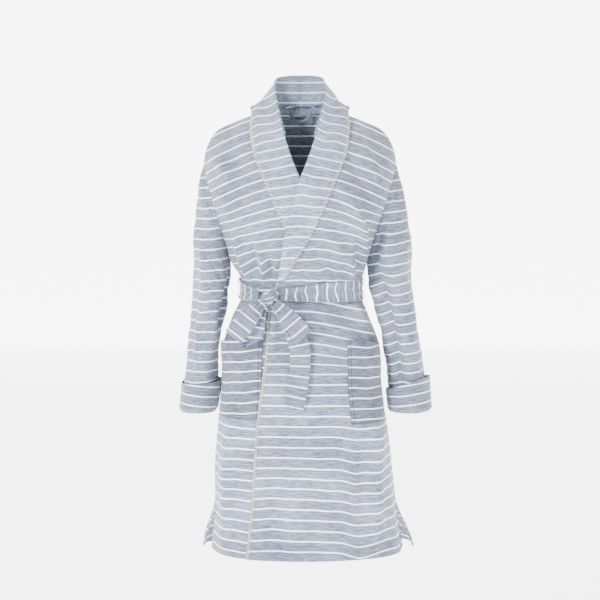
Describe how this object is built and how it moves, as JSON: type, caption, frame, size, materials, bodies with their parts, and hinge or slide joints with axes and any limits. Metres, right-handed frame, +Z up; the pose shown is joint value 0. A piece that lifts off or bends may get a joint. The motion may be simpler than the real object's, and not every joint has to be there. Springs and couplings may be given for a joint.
{
  "type": "bathrobe",
  "caption": "Knee-length wrap bathrobe of thin striped knit with a shawl collar, wide sleeves with turned-back cuffs, patch pockets and a self-fabric sash tied in a bow.",
  "frame": {"origin": "body's midline at the height of the neck ends of the shoulder seams, in the plane of the shoulder seams", "axes": "+X to the wearer's left, +Y to the back, +Z up; the front faces -Y"},
  "size_m": [0.6412, 0.3565, 1.1935],
  "materials": {
    "striped_knit": "fine heathered blue-grey jersey with narrow white stripes across it, 25.4 mm apart",
    "collar_knit": "the same jersey, doubled, stripes level",
    "sash_knit": "the same jersey, stripes across its length",
    "inner_knit": "the same jersey seen from inside",
    "self_tape": "narrow folded tape of the same jersey",
    "contrast_stitching": "thick pale tan and white overcast thread"
  },
  "bodies": {
    "robe": {"back_hem": "inner_knit", "back_neck_tape": "self_tape", "back_panel": "striped_knit", "left_collar": "collar_knit", "left_collar_edging": "contrast_stitching", "left_collar_stand": "collar_knit", "left_front_edging": "contrast_stitching", "left_front_facing": "inner_knit", "left_front_hem": "inner_knit", "left_front_panel": "striped_knit", "left_pocket": "striped_knit", "left_pocket_hem": "inner_knit", "left_sash_carrier": "self_tape", "right_collar": "collar_knit", "right_collar_edging": "contrast_stitching", "right_collar_stand": "collar_knit", "right_front_edging": "contrast_stitching", "right_front_facing": "inner_knit", "right_front_hem": "inner_knit", "right_front_panel": "striped_knit", "right_pocket": "striped_knit", "right_pocket_hem": "inner_knit", "right_sash_carrier": "self_tape", "sash_knot": "sash_knit", "sash_waistband": "sash_knit"},
    "left_sleeve_body": {"left_sleeve": "striped_knit", "left_cuff": "striped_knit"},
    "right_sleeve_body": {"right_sleeve": "striped_knit", "right_cuff": "striped_knit"},
    "long_tail": {"sash_long_tail": "sash_knit"},
    "short_tail": {"sash_short_tail": "sash_knit"},
    "left_bow": {"sash_left_loop": "sash_knit"},
    "right_bow": {"sash_right_loop": "sash_knit"},
    "hanger": {"hanging_loop": "self_tape"},
    "flap": {"flap_panel": "striped_knit", "flap_facing": "inner_knit", "flap_edging": "contrast_stitching", "flap_hem": "inner_knit"}
  },
  "joints": [
    {"name": "left_sleeve_swing", "type": "hinge", "parent": "robe", "child": "left_sleeve_body", "pos_m": [0.2424, 0, -0.1495], "axis": [0, -1, 0], "range_deg": [0, 60]},
    {"name": "right_sleeve_swing", "type": "hinge", "parent": "robe", "child": "right_sleeve_body", "pos_m": [-0.2424, 0, -0.1495], "axis": [0, 1, 0], "range_deg": [0, 60]},
    {"name": "long_tail_swing", "type": "hinge", "parent": "robe", "child": "long_tail", "pos_m": [-0.048, -0.15, -0.498], "axis": [0, 1, 0], "range_deg": [-12, 12]},
    {"name": "short_tail_swing", "type": "hinge", "parent": "robe", "child": "short_tail", "pos_m": [-0.098, -0.136, -0.498], "axis": [0, 1, 0], "range_deg": [-8, 12]},
    {"name": "left_bow_lift", "type": "hinge", "parent": "robe", "child": "left_bow", "pos_m": [-0.052, -0.164, -0.498], "axis": [-1, 0, 0], "range_deg": [0, 60]},
    {"name": "right_bow_lift", "type": "hinge", "parent": "robe", "child": "right_bow", "pos_m": [-0.1, -0.153, -0.498], "axis": [-1, 0, 0], "range_deg": [0, 60]},
    {"name": "hanging_loop_flip", "type": "hinge", "parent": "robe", "child": "hanger", "pos_m": [0, 0.0418, -0.014], "axis": [-1, 0, 0], "range_deg": [0, 150]},
    {"name": "front_flap_open", "type": "hinge", "parent": "robe", "child": "flap", "pos_m": [-0.1, -0.1535, -0.742], "axis": [-0.394, 0.0912, 0.9146], "range_deg": [0, 50]}
  ]
}
